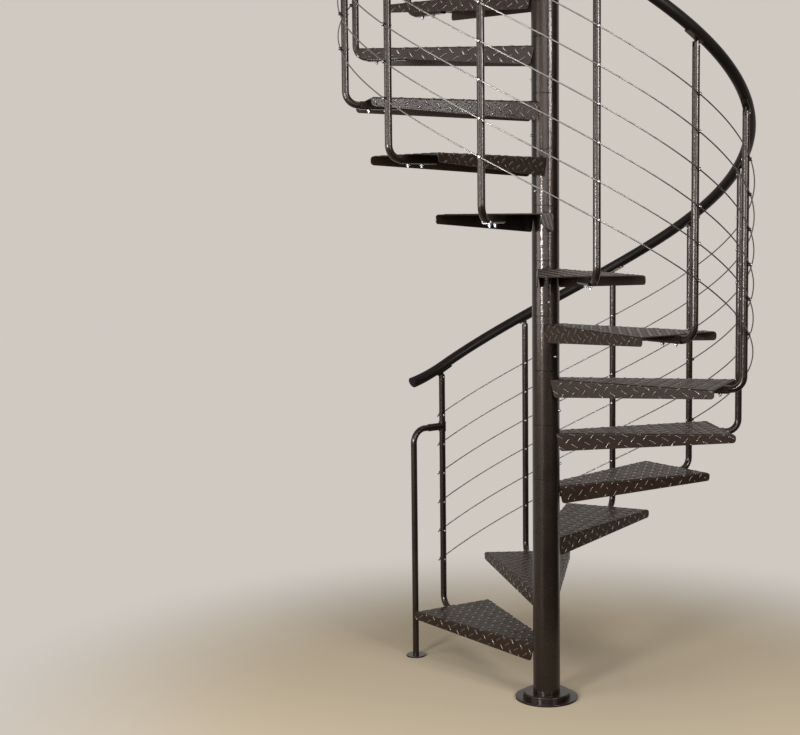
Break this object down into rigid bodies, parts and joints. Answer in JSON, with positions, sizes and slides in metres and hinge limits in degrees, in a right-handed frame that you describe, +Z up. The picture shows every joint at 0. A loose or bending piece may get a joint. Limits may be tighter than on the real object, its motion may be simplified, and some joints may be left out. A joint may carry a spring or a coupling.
{
  "type": "spiral staircase",
  "caption": "Steel spiral staircase: folded treads on a round column, bent tube balusters, helical handrail and cable rails, with a floor plate and an entry post.",
  "frame": {"origin": "on the column's axis, in the underside of the floor plate", "axes": "+Z up along the column; the first tread points 33 degrees from +Y towards -X, and the flight climbs clockwise seen from above"},
  "size_m": [1.6011, 1.602, 3.9564],
  "materials": {
    "painted_steel": "anthracite hammertone paint",
    "tread_plate": "dark painted chequer plate",
    "black_plastic": "satin moulded plastic",
    "cable_wire": "drawn steel wire rope",
    "bright_zinc": "bright zinc plated"
  },
  "bodies": {
    "root": {"base_plate": "painted_steel", "base_collar": "painted_steel", "inner_pole": "painted_steel", "sleeves_odd": "painted_steel", "sleeves_even": "painted_steel", "column_cap": "black_plastic", "tread_01": "tread_plate", "tread_02": "tread_plate", "tread_03": "tread_plate", "tread_04": "tread_plate", "tread_05": "tread_plate", "tread_06": "tread_plate", "tread_07": "tread_plate", "tread_08": "tread_plate", "tread_09": "tread_plate", "tread_10": "tread_plate", "tread_11": "tread_plate", "tread_12": "tread_plate", "tread_13": "tread_plate", "baluster_01": "painted_steel", "baluster_02": "painted_steel", "baluster_03": "painted_steel", "baluster_04": "painted_steel", "baluster_05": "painted_steel", "baluster_06": "painted_steel", "baluster_07": "painted_steel", "baluster_08": "painted_steel", "baluster_09": "painted_steel", "baluster_10": "painted_steel", "baluster_11": "painted_steel", "baluster_12": "painted_steel", "baluster_13": "painted_steel", "baluster_clamps": "painted_steel", "rail_knuckles": "painted_steel", "rail_saddles": "painted_steel", "handrail": "black_plastic", "cable_1": "cable_wire", "cable_2": "cable_wire", "cable_3": "cable_wire", "cable_4": "cable_wire", "cable_5": "cable_wire", "cable_6": "cable_wire", "cable_clips": "bright_zinc", "entry_post": "painted_steel", "entry_tee": "painted_steel"}
  },
  "joints": []
}
